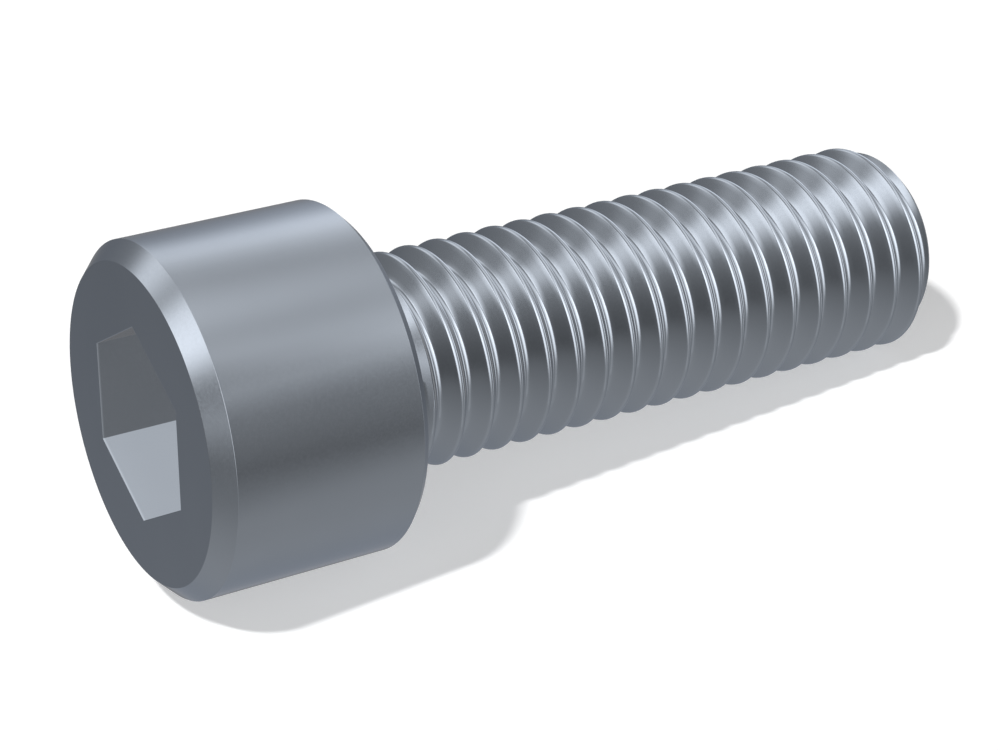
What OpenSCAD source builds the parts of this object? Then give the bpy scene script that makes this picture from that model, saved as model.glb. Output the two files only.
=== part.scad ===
// Socket head cap screw, M10 x 1.5 x 30, threaded up to the head.
// It lies as it comes to rest: on the edge of its head and on the last crest of its thread.
// +X runs from the head to the tip, and +Z is up. The origin is the bottom centre of its box.

/* [Head] */
// Diameter of the head
head_d = 16; // [14:0.5:18]
// Height of the head, from the bearing face to the socket face
head_h = 10; // [9:0.5:14]
// Chamfer round the socket face, at 45 degrees
head_chamfer = 0.8; // [0.2:0.1:1.2]
// Chamfer round the bearing face, at 45 degrees
rim_chamfer = 0.4; // [0.1:0.1:0.8]

/* [Socket] */
// Width of the hexagon socket across its flats
socket_af = 8; // [5:0.5:9]
// Depth of the socket's straight walls
socket_depth = 5; // [3:0.5:6]
// Angle of the drilled cone at the bottom of the socket
socket_cone = 120; // [100:5:150]

/* [Shank] */
// Length from the bearing face to the tip
shank_l = 30; // [20:1:45]
// Diameter where the fillet under the head meets the bearing face
fillet_d = 11.2; // [10.6:0.1:11.8]
// Length of the plain neck between the fillet and the thread
neck_l = 0.2; // [0.1:0.1:2]

/* [Thread] */
// Diameter over the crests of the thread
thread_d = 10; // [9:0.25:10]
// Pitch of the right-hand thread
pitch = 1.5; // [1:0.25:2]
// Distance from the tip back to the last crest on the underside
last_crest = 0.85; // [0.1:0.05:1.4]

/* [Hidden] */
$fn = 96;

// Metric profile: a sharp 60 degree triangle with its crest and root rounded
sharp_h = pitch * cos(30);
crest_r = sharp_h / 8;
root_r = sharp_h / 6;
major_r = thread_d / 2;
minor_r = major_r - (sharp_h - crest_r - root_r);
blank_r = major_r - sharp_h * 3 / 8;

// The neck is as thick as the blank that a thread is rolled on
fillet_r = fillet_d / 2 - blank_r;
lead_x = fillet_r + neck_l;

// Inside the neck and the head the thread shrinks to a plain core
core_gap = 0.15;
core_r = minor_r - core_gap;
start_depth = 1.1 * pitch;

// The neck overlaps the thread a little and ends in a cone inside the core
lead_gap = 0.1;
neck_end = lead_x + lead_gap;
cone_r = core_r - core_gap;
cone_end = neck_end + blank_r - cone_r;
hex_sides = 6;

// Rest: the line from the head's edge to the last crest lies on the floor
edge_r = head_d / 2;
last_r = min(major_r, minor_r + last_crest);
tilt = atan((edge_r - last_r) / (shank_l - last_crest + rim_chamfer));
rest_z = edge_r * cos(tilt) - rim_chamfer * sin(tilt);
back_x = -head_h * cos(tilt) - (edge_r - head_chamfer) * sin(tilt);
front_x = shank_l * cos(tilt) + minor_r * sin(tilt);

// The thread is a net of points: columns round the axis, and rows that climb it as helices
columns = 32;
corners = 6;
whole_turns = floor((shank_l - last_crest + start_depth) / pitch);
crest_x = shank_l - last_crest - pitch * whole_turns;
turns = ceil((shank_l - crest_x) / pitch);
rows = turns * corners;

// Corners of one pitch of the profile: crest top, flank, root and flank again
function corner_x(k) = [
    0,
    crest_r * sin(60),
    pitch / 2 - root_r * sin(60),
    pitch / 2,
    pitch / 2 + root_r * sin(60),
    pitch - crest_r * sin(60)
][k];
function corner_r(k) = [
    major_r,
    major_r - crest_r / 2,
    minor_r + root_r / 2,
    minor_r,
    minor_r + root_r / 2,
    major_r - crest_r / 2
][k];

// Cones at 45 degrees that trim the crests, from the neck up and down to the tip
function lead_r(x) = max(core_r, blank_r + x - lead_x);
function tip_r(x) = minor_r + shank_l - x;

// Past the tip the rows close in on the flat end face
function net_x(i, j) = crest_x + pitch * (floor(i / corners) + j / columns) + corner_x(i % corners);
function net_r(i, x) = x > shank_l ? tip_r(x) : min(corner_r(i % corners), tip_r(x), lead_r(x));
function net_point(i, j) = let(x = net_x(i, j), r = net_r(i, x), a = 360 * j / columns)
    [r * cos(a), r * sin(a), min(x, shank_l)];

// A row's last column joins the first column of the row one turn further on
net = [
    for (i = [0:rows]) for (j = [0:columns - 1]) net_point(i, j),
    for (i = [rows + 1:rows + corners]) net_point(i, 0)
];
function at(i, j) = j == columns ? at(i + corners, 0)
    : i <= rows ? i * columns + j
    : rows * columns + columns + i - rows - 1;

// Each end is a fan round a point that sees its whole loop
start_centre = [0, 0, crest_x + pitch / 2];
end_centre = [0, minor_r / 4, shank_l];

net_faces = [for (i = [0:rows - 1]) for (j = [0:columns - 1]) for (half = [0:1])
    half == 0
        ? [at(i, j), at(i + 1, j), at(i + 1, j + 1)]
        : [at(i, j), at(i + 1, j + 1), at(i, j + 1)]];
start_loop = [for (j = [0:columns]) at(0, j), for (i = [corners - 1:-1:0]) at(i, 0)];
end_loop = [for (i = [0:corners]) at(rows + i, 0), for (j = [columns - 1:-1:0]) at(rows, j)];
function fan(centre, loop) = [for (k = [0:len(loop) - 2]) [centre, loop[k], loop[k + 1]]];

module thread() {
    polyhedron(
        points = concat(net, [start_centre, end_centre]),
        faces = concat(net_faces, fan(len(net), start_loop), fan(len(net) + 1, end_loop)),
        convexity = 10
    );
}

// Half section of the head and the neck, radius along x and the axis along y
module turned_section() {
    difference() {
        polygon([
            [0, -head_h],
            [edge_r - head_chamfer, -head_h],
            [edge_r, head_chamfer - head_h],
            [edge_r, -rim_chamfer],
            [edge_r - rim_chamfer, 0],
            [fillet_d / 2, 0],
            [blank_r, fillet_r],
            [blank_r, neck_end],
            [cone_r, cone_end],
            [0, cone_end]
        ]);
        translate([fillet_d / 2, fillet_r])
            circle(r = fillet_r);
    }
}

// Hexagon hole with a corner straight up, and the drilled cone below it
module socket() {
    mouth = 1;
    translate([0, 0, -head_h - mouth])
        cylinder(d = socket_af / cos(30), h = socket_depth + mouth, $fn = hex_sides);
    translate([0, 0, socket_depth - head_h])
        cylinder(r1 = socket_af / 2, r2 = 0, h = socket_af / 2 / tan(socket_cone / 2));
}

module screw() {
    color([0.4, 0.42, 0.45])
    translate([-(back_x + front_x) / 2, 0, rest_z])
    rotate([0, 90 + tilt, 0])
    difference() {
        union() {
            // Half a facet round, so that the head lies on a flat of its rim and not on a corner
            rotate([0, 0, 180 / $fn]) rotate_extrude() turned_section();
            thread();
        }
        socket();
    }
}

screw();
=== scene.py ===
# Socket head cap screw, M10 x 1.5 x 30, lying on a pale floor in soft studio light.
# Lengths are millimetres until a mesh is made, and metres from there on.
import bpy
import numpy as np
from mathutils import Matrix


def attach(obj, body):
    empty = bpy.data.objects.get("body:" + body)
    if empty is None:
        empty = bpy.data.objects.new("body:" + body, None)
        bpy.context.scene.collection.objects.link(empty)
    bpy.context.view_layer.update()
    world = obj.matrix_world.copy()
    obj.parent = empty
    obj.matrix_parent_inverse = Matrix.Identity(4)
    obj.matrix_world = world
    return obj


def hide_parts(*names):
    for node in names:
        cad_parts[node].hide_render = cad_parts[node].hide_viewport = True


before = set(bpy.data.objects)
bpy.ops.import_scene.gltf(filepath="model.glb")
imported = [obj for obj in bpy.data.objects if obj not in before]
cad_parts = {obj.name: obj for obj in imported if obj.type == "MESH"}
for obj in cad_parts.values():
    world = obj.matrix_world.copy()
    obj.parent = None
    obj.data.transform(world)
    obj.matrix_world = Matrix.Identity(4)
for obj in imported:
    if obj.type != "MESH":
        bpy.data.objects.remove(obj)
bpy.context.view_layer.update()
print("frame loaded")

mm = 0.001


def linearColour(hexText):
    # sRGB hex to linear light: each channel through the standard curve
    channels = np.array([int(hexText[i:i + 2], 16) for i in (1, 3, 5)]) / 255
    linear = np.where(channels <= 0.04045, channels / 12.92, ((channels + 0.055) / 1.055) ** 2.4)
    return tuple(linear) + (1.0,)


def addNode(tree, kind, settings=None, inputs=None):
    # adds one node; settings are its properties, and inputs are constants or other nodes' sockets
    node = tree.nodes.new(kind)
    for name, value in (settings or {}).items():
        setattr(node, name, value)
    for name, value in (inputs or {}).items():
        if isinstance(value, bpy.types.NodeSocket):
            tree.links.new(value, node.inputs[name])
        else:
            node.inputs[name].default_value = value
    return node


def poseMatrix(right, up, back, place):
    # the columns of the matrix are the directions to the right, up and back, and the place
    rows = np.identity(4)
    rows[:3] = np.column_stack([right, up, back, place])
    return Matrix(rows.tolist())


# Sizes of the screw, the same as its solid model

headSizes = {
    "diameter": 16.0,
    "height": 10.0,
    "faceChamfer": 0.8,      # round the socket face, 45 degrees
    "rimChamfer": 0.4,       # round the bearing face, 45 degrees
    "edgeRadius": 0.015,     # every edge is crisp but not sharp
    "edgeSteps": 3,          # facets round each edge
}
socketSizes = {
    "acrossFlats": 8.0,
    "depth": 5.0,
    "drillRadius": 3.97,     # the drilled cone stops just inside the flats
    "coneAngle": 120.0,
    "wallRows": (0.02, 0.5, 0.98),     # rows on the walls, as shares of the way out
    "mouthRadius": 0.02,     # soft edge left by the broach
    "mouthSteps": 3,         # facets round that edge
}
threadSizes = {
    "diameter": 10.0,
    "pitch": 1.5,
    "length": 30.0,
    "lastCrest": 0.85,       # from the tip back to the last crest on the underside
    "filletDiameter": 11.2,
    "neck": 0.2,             # plain neck between the fillet and the thread
    "neckOverlap": 0.1,      # how far the neck runs on under the thread
    "startBack": 2.4,        # the first row starts up to this far back, out on the bearing face
    "crestSteps": 10,        # facets round each crest
    "rootSteps": 8,          # facets round each root
    "flankSteps": 4,         # facets across each flank
}
columns = 144                # points round the axis, a multiple of six for exact hexagon corners
sharpAngle = 40.0            # degrees; a mesh edge that turns by more is drawn sharp

pitch = threadSizes["pitch"]
flankAngle = np.radians(60.0)     # between a flank and the axis
sharpHeight = pitch * np.cos(np.pi / 6)     # of the sharp triangle between two crests
crestRadius = sharpHeight / 8
rootRadius = sharpHeight / 6
majorRadius = threadSizes["diameter"] / 2
minorRadius = majorRadius - (sharpHeight - crestRadius - rootRadius)
blankRadius = majorRadius - sharpHeight * 3 / 8     # of the blank that the thread is rolled on
shankLength = threadSizes["length"]
headRadius = headSizes["diameter"] / 2

# Where the screw lies: its head's edge and its last crest touch the floor
lastRadius = min(majorRadius, minorRadius + threadSizes["lastCrest"])
contactSpan = shankLength - threadSizes["lastCrest"] + headSizes["rimChamfer"]
tilt = np.arctan((headRadius - lastRadius) / contactSpan)
axisHeight = headRadius * np.cos(tilt) - headSizes["rimChamfer"] * np.sin(tilt)
faceRadius = headRadius - headSizes["faceChamfer"]
backEnd = -headSizes["height"] * np.cos(tilt) - faceRadius * np.sin(tilt)
frontEnd = shankLength * np.cos(tilt) + minorRadius * np.sin(tilt)
bearingCentre = np.array([-(backEnd + frontEnd) / 2, 0.0, axisHeight])
axisAlong = np.array([np.cos(tilt), 0.0, -np.sin(tilt)])     # from the head to the tip
axisDown = np.array([-np.sin(tilt), 0.0, -np.cos(tilt)])     # angle 0, on the underside
axisUp = -axisDown
across = np.array([0.0, 1.0, 0.0])


def placePoints(along, radius, angle):
    # the bearing centre, plus a distance along the axis, plus a radius turned by its angle
    along, radius, angle = np.broadcast_arrays(along, radius, angle)
    spread = np.cos(angle)[..., None] * axisDown + np.sin(angle)[..., None] * across
    return bearingCentre + along[..., None] * axisAlong + radius[..., None] * spread


def makePiece(name, points, faces, material):
    # one mesh from points in millimetres; faces may have three or four corners
    mesh = bpy.data.meshes.new(name)
    mesh.from_pydata((points * mm).tolist(), [], faces)
    mesh.validate()
    mesh.polygons.foreach_set("use_smooth", np.ones(len(mesh.polygons), dtype=bool))
    mesh.set_sharp_from_angle(angle=np.radians(sharpAngle))
    mesh.materials.append(material)
    piece = bpy.data.objects.new(name, mesh)
    bpy.context.scene.collection.objects.link(piece)
    return piece


# Steel

steelLook = {
    "colour": "#8f959d",       # blue-grey of tempered alloy steel, lightly oiled
    "dark": "#868c94",         # slightly darker patches of the same steel
    "cloudSize": 6.0,          # size of those patches
    "cloudDetail": 2.0,
    "grazing": "#d4d9e2",      # keeps the steel cool where it is seen at a shallow angle
    "roughness": 0.16,
    "roughSpread": 0.03,
    "grainSize": 0.12,         # the tumbled grain, drawn coarser than its real 0.03 mm
    "grainDetail": 3.0,
    "grainRange": (0.3, 0.7),  # the noise hardly leaves this range
    "grainHeight": 0.0012,
    "markSpacing": 0.10,       # feed of the turning tool
    "markDetail": 2.0,
    "markStretch": 50,         # how much longer a mark is round the axis than along it
    "markHeight": 0.0005,
    "bumpStrength": 0.25,
}


def makeSteel():
    # Tempered alloy steel, turned and then tumbled: it shows soft broad highlights
    # with a very fine grain and faint rings round the axis.
    look = steelLook
    steel = bpy.data.materials.new("tumbledAlloySteel")
    steel.use_nodes = True
    tree = steel.node_tree
    tree.nodes.clear()
    place = addNode(tree, "ShaderNodeTexCoord")
    turned = addNode(tree, "ShaderNodeMapping", inputs={
        "Vector": place.outputs["Object"],
        "Rotation": (0.0, -tilt, 0.0),
    })
    squeezed = addNode(tree, "ShaderNodeMapping", inputs={
        "Vector": turned.outputs["Vector"],
        "Scale": (1.0, 1 / look["markStretch"], 1 / look["markStretch"]),
    })
    grain = addNode(tree, "ShaderNodeTexNoise", inputs={
        "Vector": turned.outputs["Vector"],
        "Scale": 1 / (look["grainSize"] * mm),
        "Detail": look["grainDetail"],
    })
    cloud = addNode(tree, "ShaderNodeTexNoise", inputs={
        "Vector": turned.outputs["Vector"],
        "Scale": 1 / (look["cloudSize"] * mm),
        "Detail": look["cloudDetail"],
    })
    rings = addNode(tree, "ShaderNodeTexNoise", inputs={
        "Vector": squeezed.outputs["Vector"],
        "Scale": 1 / (look["markSpacing"] * mm),
        "Detail": look["markDetail"],
    })
    roughness = addNode(tree, "ShaderNodeMapRange", inputs={
        "Value": grain.outputs["Fac"],
        "From Min": look["grainRange"][0],
        "From Max": look["grainRange"][1],
        "To Min": look["roughness"] - look["roughSpread"],
        "To Max": look["roughness"] + look["roughSpread"],
    })
    tone = addNode(tree, "ShaderNodeMix", {"data_type": "RGBA"}, {
        "Factor": cloud.outputs["Fac"],
        "A": linearColour(look["dark"]),
        "B": linearColour(look["colour"]),
    })
    grainBump = addNode(tree, "ShaderNodeBump", inputs={
        "Height": grain.outputs["Fac"],
        "Strength": look["bumpStrength"],
        "Distance": look["grainHeight"] * mm,
    })
    ringBump = addNode(tree, "ShaderNodeBump", inputs={
        "Height": rings.outputs["Fac"],
        "Normal": grainBump.outputs["Normal"],
        "Strength": look["bumpStrength"],
        "Distance": look["markHeight"] * mm,
    })
    shader = addNode(tree, "ShaderNodeBsdfPrincipled", inputs={
        "Metallic": 1.0,
        "Base Color": tone.outputs["Result"],
        "Specular Tint": linearColour(look["grazing"]),
        "Roughness": roughness.outputs["Result"],
        "Normal": ringBump.outputs["Normal"],
    })
    addNode(tree, "ShaderNodeOutputMaterial", inputs={"Surface": shader.outputs["BSDF"]})
    return steel


# Head, socket and bearing face: rings of points round the axis

def softOutline(corners, radius, steps):
    # each corner becomes an arc that touches both of its sides: its centre, plus the arms to its
    # two ends, each times the sine of the turn left to the other end, over the sine of the whole
    # turn; a guard point on each side keeps the flats flat
    corners = np.array(corners, dtype=float)
    share = np.linspace(0, 1, steps + 1)[:, None]
    outline = [corners[0]]
    for corner, before, after in zip(corners[1:-1], corners[:-2], corners[2:]):
        toBefore = (before - corner) / np.linalg.norm(before - corner)
        toAfter = (after - corner) / np.linalg.norm(after - corner)
        middle = (toBefore + toAfter) / np.linalg.norm(toBefore + toAfter)
        halfAngle = np.arccos(np.clip(toBefore @ toAfter, -1, 1)) / 2
        sweep = np.pi - 2 * halfAngle
        reach = radius / np.tan(halfAngle)
        centre = corner + middle * radius / np.sin(halfAngle)
        start, end = corner + toBefore * reach, corner + toAfter * reach
        fromStart = np.sin((1 - share) * sweep) * (start - centre)
        fromEnd = np.sin(share * sweep) * (end - centre)
        arc = centre + (fromStart + fromEnd) / np.sin(sweep)
        outline += [start + toBefore * radius / 2, *arc, end + toAfter * radius / 2]
    outline.append(corners[-1])
    return np.array(outline)


def hexRadius(angle, apothem):
    # distance from the axis to a hexagon with a corner at angle 0: its apothem, over the cosine
    # of the angle from the middle of the flat
    return apothem / np.cos(np.mod(angle, np.pi / 3) - np.pi / 6)


def headRings(angle):
    # rings of (along, radius): from the drilled cone's rim out of the socket, over the head
    # and on to the bearing face
    face = -headSizes["height"]
    rim, edge = headSizes["rimChamfer"], headSizes["edgeRadius"]
    depth, soft = socketSizes["depth"], socketSizes["mouthRadius"]
    apothem = socketSizes["acrossFlats"] / 2
    bottom = face + depth
    rings = [(bottom, socketSizes["drillRadius"]), (bottom, hexRadius(angle, apothem))]
    for share in socketSizes["wallRows"]:
        rings.append((bottom - share * (depth - soft), hexRadius(angle, apothem)))
    for turn in np.linspace(0, np.pi / 2, socketSizes["mouthSteps"] + 1):
        widened = apothem + soft * (1 - np.cos(turn))
        rings.append((face + soft * (1 - np.sin(turn)), hexRadius(angle, widened)))
    # a hexagon and then a circle, both just outside the soft mouth, keep the face flat
    rings.append((face, hexRadius(angle, apothem + 2 * soft)))
    corners = [
        (face, apothem / np.cos(np.pi / 6) + 4 * soft),
        (face, faceRadius),
        (face + headSizes["faceChamfer"], headRadius),
        (-rim, headRadius),
        (0.0, headRadius - rim),
        (0.0, headRadius - rim - 2 * edge),
    ]
    rings += list(softOutline(corners, edge, headSizes["edgeSteps"]))
    return np.array([placePoints(along, radius, angle) for along, radius in rings])


# Shank: rows that climb the thread as helices

def threadRadius(phase):
    # crest arc, straight flank and root arc, by the distance from the nearest crest
    gap = np.abs(np.mod(phase + pitch / 2, pitch) - pitch / 2)
    rootGap = pitch / 2 - gap
    crestReach = crestRadius * np.sin(flankAngle)
    rootReach = rootRadius * np.sin(flankAngle)
    crest = majorRadius - crestRadius + np.sqrt(np.clip(crestRadius ** 2 - gap ** 2, 0, None))
    flank = majorRadius - crestRadius / 2 - (gap - crestReach) * np.tan(flankAngle)
    root = minorRadius + rootRadius - np.sqrt(np.clip(rootRadius ** 2 - rootGap ** 2, 0, None))
    return np.where(gap < crestReach, crest, np.where(rootGap < rootReach, root, flank))


def rowPhases():
    # places of the rows in one pitch: even steps of angle round the crest and root arcs,
    # and even steps of length across the flanks
    crestSteps, rootSteps = threadSizes["crestSteps"], threadSizes["rootSteps"]
    flankPoints = threadSizes["flankSteps"] + 1
    crest = crestRadius * np.sin(np.linspace(-flankAngle, flankAngle, crestSteps + 1))
    root = pitch / 2 + rootRadius * np.sin(np.linspace(-flankAngle, flankAngle, rootSteps + 1))
    falling = np.linspace(crest[-1], root[0], flankPoints)[1:-1]
    rising = np.linspace(root[-1], pitch + crest[0], flankPoints)[1:-1]
    middle = crestSteps // 2
    return np.concatenate([crest[middle:], falling, root, rising, pitch + crest[:middle]])


filletRadius = threadSizes["filletDiameter"] / 2 - blankRadius
filletLength = filletRadius * np.pi / 2
leadStart = filletRadius + threadSizes["neck"]


def filletTurn(path):
    # angle round the fillet's quarter arc, from the neck: the path left to the neck, over the
    # fillet's radius
    return np.clip((filletRadius - path) / filletRadius, 0, np.pi / 2)


def neckRadius(path):
    # the bearing face, then the quarter arc, then the plain neck that ends in a 45 degree cone
    flat = np.clip(filletRadius - filletLength - path, 0, None)
    arc = threadSizes["filletDiameter"] / 2 - filletRadius * np.cos(filletTurn(path))
    return arc + flat - np.clip(path - leadStart - threadSizes["neckOverlap"], 0, None)


def alongFromPath(path):
    # path length runs along the axis, except on the fillet, the bearing face and the end face
    fillet = filletRadius * (1 - np.sin(filletTurn(path)))
    return np.minimum(np.where(path < filletRadius, fillet, path), shankLength)


def tipRadius(path):
    # 45 degree cone down to the root radius at the tip, then straight in on the end face
    return minorRadius + shankLength - path


def leadRadius(path):
    # 45 degree cone up from the neck
    return blankRadius + path - leadStart


def snapRows(path, difference, crease):
    # where a difference changes sign between two rows, the nearer one that is still free
    # moves on to the crossing and is marked as a crease
    before, after = difference[:-1], difference[1:]
    crosses = (before * after) < 0
    share = np.where(crosses, before / np.where(crosses, before - after, 1), 0)
    place = path[:-1] + share * (path[1:] - path[:-1])
    moveBefore = crosses & ~crease[:-1] & ((share <= 0.5) | crease[1:])
    moveAfter = crosses & ~crease[1:] & ~moveBefore
    path[:-1] = np.where(moveBefore, place, path[:-1])
    path[1:] = np.where(moveAfter, place, path[1:])
    crease[:-1] |= moveBefore
    crease[1:] |= moveAfter


def shankRows(angle):
    # each row is a helix; its radius is the thread, trimmed by the lead and tip cones,
    # or the neck where that is larger
    phases = rowPhases()
    perTurn = len(phases)
    lastCrest = shankLength - threadSizes["lastCrest"]
    firstCrest = lastCrest - pitch * int((lastCrest + threadSizes["startBack"]) // pitch)
    turns = int(np.ceil((shankLength - firstCrest) / pitch))
    index = np.arange((turns + 1) * perTurn + 1)
    rowPath = firstCrest + pitch * (index // perTurn) + phases[index % perTurn]
    crestPath = pitch * angle / (2 * np.pi)
    path = rowPath[:, None] + crestPath
    crease = np.zeros(path.shape, dtype=bool)

    def thread():
        return threadRadius(path - crestPath - firstCrest)

    def trimmed():
        return np.minimum(np.minimum(thread(), tipRadius(path)), leadRadius(path))

    snapRows(path, path - shankLength, crease)
    snapRows(path, thread() - tipRadius(path), crease)
    snapRows(path, thread() - leadRadius(path), crease)
    snapRows(path, neckRadius(path) - trimmed(), crease)
    skin = np.maximum(trimmed(), neckRadius(path))
    radius = np.where(path >= shankLength, tipRadius(path), skin)
    points = placePoints(alongFromPath(path), radius, angle)
    # the round crest is flattened by a hair where it lies on the floor
    points[..., 2] = np.maximum(points[..., 2], 0.0)
    return points, crease, perTurn, turns * perTurn


def buildScrew(material):
    # one closed skin: cone, socket, head, bearing face, a spiral strip, then the thread's
    # helices to the tip
    angle = np.linspace(0, 2 * np.pi, columns, endpoint=False)
    cone = socketSizes["drillRadius"] / np.tan(np.radians(socketSizes["coneAngle"] / 2))
    apex = placePoints(socketSizes["depth"] - headSizes["height"] + cone, 0.0, 0.0)
    rings = headRings(angle)
    rows, crease, perTurn, lastRow = shankRows(angle)
    # off the axis, where a fan's centre sees the whole spiral edge of the end face
    endCentre = placePoints(shankLength, minorRadius / 4, np.pi / 2)

    # the helices' first column goes on one turn past the last full row
    fullRows = rows[:lastRow + 1].reshape(-1, 3)
    stepRows = rows[lastRow + 1:lastRow + perTurn + 1, 0]
    points = np.concatenate([[apex], rings.reshape(-1, 3), fullRows, stepRows, [endCentre]])

    column = np.arange(columns)
    nextColumn = (column + 1) % columns
    ringCount = len(rings)
    ringStart = 1
    helixStart = ringStart + ringCount * columns

    def helixPoint(row, columnIndex):
        # the last column is the first one of the row a turn further on
        wraps = columnIndex == columns
        row = row + np.where(wraps, perTurn, 0)
        columnIndex = np.where(wraps, 0, columnIndex)
        step = (lastRow + 1) * columns + row - lastRow - 1
        return helixStart + np.where(row <= lastRow, row * columns + columnIndex, step)

    def quads(a, b, c, d):
        return np.stack([a, b, c, d], axis=-1).reshape(-1, 4).tolist()

    def triangles(a, b, c):
        return np.stack(np.broadcast_arrays(a, b, c), axis=-1).reshape(-1, 3).tolist()

    faces = triangles(0, ringStart + nextColumn, ringStart + column)
    inner = ringStart + np.arange(ringCount - 1)[:, None] * columns
    outer = inner + columns
    faces += quads(inner + column, inner + nextColumn, outer + nextColumn, outer + column)

    # the spiral strip on the bearing face, and the fan that closes its step
    lastRing = ringStart + (ringCount - 1) * columns + column
    firstHelix = helixPoint(0, column)
    faces += quads(lastRing[:-1], lastRing[1:], firstHelix[1:], firstHelix[:-1])
    climb = helixPoint(np.arange(perTurn + 1), 0)
    climb = np.concatenate([[lastRing[-1], lastRing[0]], climb])
    faces += triangles(firstHelix[-1], climb[:-1], climb[1:])

    # a face whose diagonal lies on a crease is split along it, the others stay whole
    helixRow = np.arange(lastRow)[:, None]
    corners = [helixPoint(helixRow, column), helixPoint(helixRow, column + 1),
               helixPoint(helixRow + 1, column + 1), helixPoint(helixRow + 1, column)]
    wrapped = crease[perTurn:perTurn + lastRow + 1, :1]
    marks = np.concatenate([crease[:lastRow + 1], wrapped], axis=1)
    falling = marks[:-1, :-1] & marks[1:, 1:]
    rising = marks[:-1, 1:] & marks[1:, :-1] & ~falling
    whole = ~(falling | rising)
    faces += quads(*(corner[whole] for corner in corners))
    faces += triangles(*(corners[k][falling] for k in (0, 1, 2)))
    faces += triangles(*(corners[k][falling] for k in (0, 2, 3)))
    faces += triangles(*(corners[k][rising] for k in (0, 1, 3)))
    faces += triangles(*(corners[k][rising] for k in (1, 2, 3)))

    # end face: a fan round its centre, and the step of the spiral
    last = len(points) - 1
    faces += triangles(helixPoint(lastRow, column), helixPoint(lastRow, column + 1), last)
    step = np.arange(perTurn)
    faces += triangles(helixPoint(lastRow + step + 1, 0), helixPoint(lastRow + step, 0), last)
    return makePiece("capScrew", points, faces, material)


screw = buildScrew(makeSteel())
screw.visible_glossy = False     # grooves and socket mirror the studio, not the steel beside them
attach(screw, "root")
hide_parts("screw")
print("screw built:", len(screw.data.polygons), "faces")


# Camera: where it stands and looks, measured along, across and up from the screw's own axis

cameraView = {
    "focalPixels": 2819.25,
    "imageWidth": 1000,
    "sensorWidth": 36.0,
    "nearest": 0.001,                       # metres; nothing nearer than this is drawn
    "yaw": 58.69,                           # degrees from the axis towards the far side
    "pitch": 24.89,                         # degrees downwards
    "place": (-43.223, -100.924, 52.807),   # from the centre of the socket face
}


def makeCamera():
    # its directions come from its yaw and pitch, and its place is measured from the socket face
    view = cameraView
    yaw, pitchDown = np.radians(view["yaw"]), np.radians(view["pitch"])
    level = np.cos(yaw) * axisAlong + np.sin(yaw) * across
    forward = np.cos(pitchDown) * level - np.sin(pitchDown) * axisUp
    right = np.sin(yaw) * axisAlong - np.cos(yaw) * across
    up = np.cross(right, forward)
    faceCentre = bearingCentre - headSizes["height"] * axisAlong
    along, side, above = view["place"]
    place = (faceCentre + along * axisAlong + side * across + above * axisUp) * mm
    data = bpy.data.cameras.new("camera")
    data.sensor_width = view["sensorWidth"]
    data.lens = view["focalPixels"] / view["imageWidth"] * view["sensorWidth"]
    data.clip_start = view["nearest"]
    camera = bpy.data.objects.new("camera", data)
    camera.matrix_world = poseMatrix(right, up, -forward, place)
    bpy.context.scene.collection.objects.link(camera)
    bpy.context.scene.camera = camera


makeCamera()
print("camera placed")


# Studio: a floor, a key lamp for its shadow, and a tent of soft light all round

studioLook = {
    "floorSize": 3.0,            # metres
    "floorColour": "#d9d9d9",
    "floorGlow": 0.40,           # what the camera adds to the lit floor
    "fillOnFloor": 0.04,         # share of the tent's light that reaches matt surfaces
    "sunTravel": (0.53, 0.28, -1.0),     # the way its light goes
    "sunAngle": 4.0,             # degrees across, which softens the shadow's edge
    "sunStrength": 2.6,
}

# the tent's light by elevation in degrees: pale below, dark just under the horizon and again
# at 45 degrees, bright overhead
tentLevels = (
    (-90, 0.78), (-45, 0.62), (-30, 0.48), (-15, 0.32), (0, 0.42),
    (15, 0.52), (30, 0.82), (45, 0.27), (90, 0.88),
)
# softboxes in degrees: azimuth from the axis towards the far side, elevation, half width and
# half height, and then the strength that each adds
softboxes = {
    "key beside the head": (-124, 10, 21, 29, 2.5),
    "key's upper corner": (-144, 32, 12, 29, 2.6),
    "top of the key": (-107, 47, 16, 7, 1.4),
    "strip between the keys": (-97, 30, 19, 60, 1.0),
    "key beside the tip": (-40, 15, 14, 39, 1.8),
    "box behind the head": (173, 28, 16, 15, 2.15),
    "box behind the shank": (110, 38, 28, 14, 1.4),
    "box past the tip": (35, 27, 27, 26, 1.8),
    "panel overhead": (-53, 89, 28, 24, 0.7),
    "dark card by the socket": (-177, -10, 8, 11, -0.1),
    "dark card under the shank": (66, -30, 9, 10, -0.28),
}


def studioDirection(azimuth, elevation):
    # a direction from its azimuth and elevation about the screw's own axis
    azimuth, elevation = np.radians(azimuth), np.radians(elevation)
    level = np.cos(azimuth) * axisAlong + np.sin(azimuth) * across
    return np.cos(elevation) * level + np.sin(elevation) * axisUp


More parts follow.
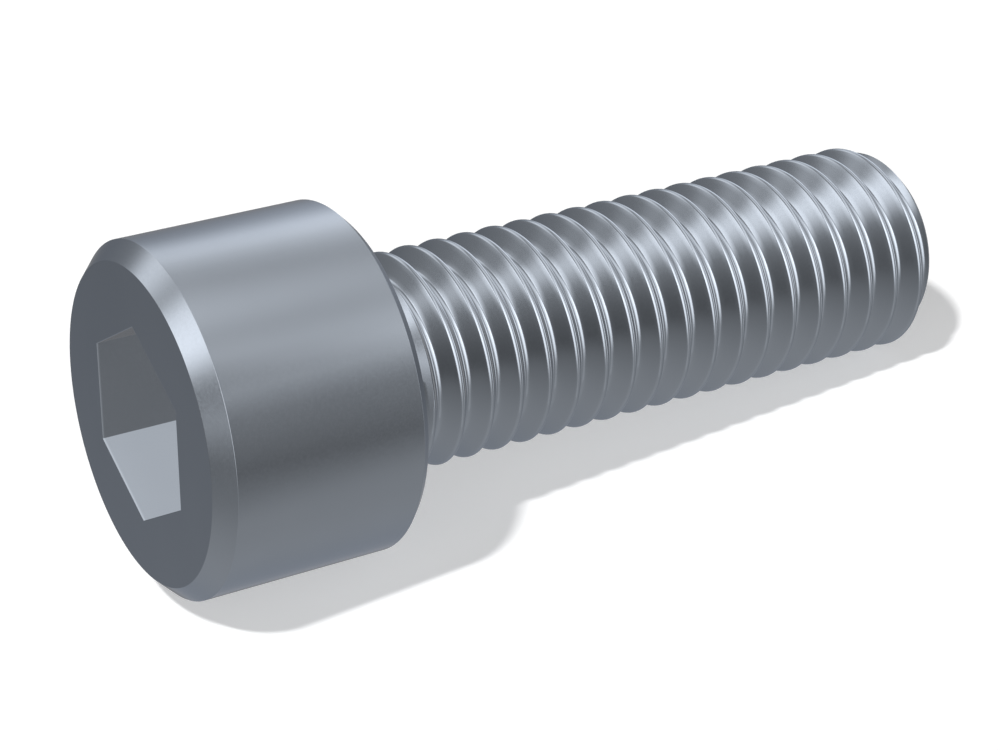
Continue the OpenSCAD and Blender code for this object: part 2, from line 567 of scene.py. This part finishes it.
def makeFloor():
    # a flat square of pale matt paint, which the camera sees a little brighter; the steel sees
    # the tent instead
    look = studioLook
    half = look["floorSize"] / 2
    corners = [(-half, -half, 0), (half, -half, 0), (half, half, 0), (-half, half, 0)]
    mesh = bpy.data.meshes.new("floor")
    mesh.from_pydata(corners, [], [(0, 1, 2, 3)])
    floor = bpy.data.objects.new("floor", mesh)
    floor.visible_glossy = False
    bpy.context.scene.collection.objects.link(floor)
    material = bpy.data.materials.new("paleFloorPaint")
    material.use_nodes = True
    tree = material.node_tree
    tree.nodes.clear()
    path = addNode(tree, "ShaderNodeLightPath")
    matt = addNode(tree, "ShaderNodeBsdfDiffuse", inputs={"Color": linearColour(look["floorColour"])})
    glowLevel = addNode(tree, "ShaderNodeMath", {"operation": "MULTIPLY"},
                        {0: path.outputs["Is Camera Ray"], 1: look["floorGlow"]})
    glow = addNode(tree, "ShaderNodeEmission", inputs={"Strength": glowLevel.outputs[0]})
    lit = addNode(tree, "ShaderNodeAddShader", inputs={0: matt.outputs[0], 1: glow.outputs[0]})
    addNode(tree, "ShaderNodeOutputMaterial", inputs={"Surface": lit.outputs[0]})
    mesh.materials.append(material)


def makeSun():
    # a lamp far off, aimed along its travel; it makes the floor's shadow and leaves no spot
    # in the steel
    look = studioLook
    data = bpy.data.lights.new("keyLamp", "SUN")
    data.energy = look["sunStrength"]
    data.angle = np.radians(look["sunAngle"])
    lamp = bpy.data.objects.new("keyLamp", data)
    lamp.visible_glossy = False
    back = -np.array(look["sunTravel"]) / np.linalg.norm(look["sunTravel"])
    side = np.cross(across, back)
    side /= np.linalg.norm(side)
    lamp.matrix_world = poseMatrix(side, np.cross(back, side), back, (0.0, 0.0, 0.0))
    bpy.context.scene.collection.objects.link(lamp)


def makeTent():
    # World light: a level by elevation plus flat-topped softboxes, which glossy and transmission
    # rays see in full. Matt surfaces get a small share of it, so that the key lamp's shadow
    # stays even. The camera sees plain white.
    world = bpy.data.worlds.new("tent")
    bpy.context.scene.world = world
    world.use_nodes = True
    tree = world.node_tree
    tree.nodes.clear()
    direction = addNode(tree, "ShaderNodeTexCoord").outputs["Generated"]
    white = (1.0, 1.0, 1.0, 1.0)

    def lean(vector):
        # how far the looked-at direction leans towards a vector, by their dot product
        node = addNode(tree, "ShaderNodeVectorMath", {"operation": "DOT_PRODUCT"},
                       {0: direction, 1: tuple(vector)})
        return node.outputs["Value"]

    def spread(vector, halfAngle):
        # the fourth power of a lean, which is 1 where the direction is a half angle away
        ratio = lean(vector / np.sin(np.radians(halfAngle)))
        power = addNode(tree, "ShaderNodeMath", {"operation": "POWER"}, {0: ratio, 1: 4.0})
        return power.outputs[0]

    height = addNode(tree, "ShaderNodeMapRange",
                     inputs={"Value": lean(axisUp), "From Min": -1.0, "From Max": 1.0})
    ramp = addNode(tree, "ShaderNodeValToRGB", inputs={"Fac": height.outputs["Result"]})
    stops = ramp.color_ramp.elements
    while len(stops) < len(tentLevels):
        stops.new(0.5)
    top = max(level for elevation, level in tentLevels)
    for stop, (elevation, level) in zip(stops, tentLevels):
        stop.position = (np.sin(np.radians(elevation)) + 1) / 2
        stop.color = (level / top, level / top, level / top, 1.0)
    total = addNode(tree, "ShaderNodeMath", {"operation": "MULTIPLY"},
                    {0: ramp.outputs["Color"], 1: top})
    for azimuth, elevation, halfWidth, halfHeight, strength in softboxes.values():
        # each falls off as e to minus the sum of its two spreads, so its middle is flat
        centre = studioDirection(azimuth, elevation)
        sideways = studioDirection(azimuth + 90, 0)
        upwards = np.cross(centre, sideways)
        spreads = addNode(tree, "ShaderNodeMath", {"operation": "ADD"},
                          {0: spread(sideways, halfWidth), 1: spread(upwards, halfHeight)})
        fall = addNode(tree, "ShaderNodeMath", {"operation": "POWER"},
                       {0: np.exp(-1), 1: spreads.outputs[0]})
        ahead = addNode(tree, "ShaderNodeMath", {"operation": "GREATER_THAN"},
                        {0: lean(centre), 1: 0.0})
        shape = addNode(tree, "ShaderNodeMath", {"operation": "MULTIPLY"},
                        {0: fall.outputs[0], 1: ahead.outputs[0]})
        total = addNode(tree, "ShaderNodeMath", {"operation": "MULTIPLY_ADD"},
                        {0: shape.outputs[0], 1: strength, 2: total.outputs[0]})
    path = addNode(tree, "ShaderNodeLightPath")
    mirrored = addNode(tree, "ShaderNodeMath", {"operation": "MAXIMUM"},
                       {0: path.outputs["Is Glossy Ray"], 1: path.outputs["Is Transmission Ray"]})
    matt = addNode(tree, "ShaderNodeMath", {"operation": "SUBTRACT"},
                   {0: path.outputs["Is Diffuse Ray"], 1: mirrored.outputs[0]})
    share = addNode(tree, "ShaderNodeMapRange", inputs={
        "Value": matt.outputs[0],
        "To Min": 1.0,
        "To Max": studioLook["fillOnFloor"],
    })
    brightness = addNode(tree, "ShaderNodeMath", {"operation": "MULTIPLY"},
                         {0: total.outputs[0], 1: share.outputs["Result"]})
    tent = addNode(tree, "ShaderNodeBackground",
                   inputs={"Color": white, "Strength": brightness.outputs[0]})
    plain = addNode(tree, "ShaderNodeBackground", inputs={"Color": white, "Strength": 1.0})
    choice = addNode(tree, "ShaderNodeMixShader", inputs={
        0: path.outputs["Is Camera Ray"],
        1: tent.outputs[0],
        2: plain.outputs[0],
    })
    addNode(tree, "ShaderNodeOutputWorld", inputs={"Surface": choice.outputs[0]})


makeFloor()
makeSun()
makeTent()
bpy.context.scene.view_settings.view_transform = "Standard"
print("studio lit")
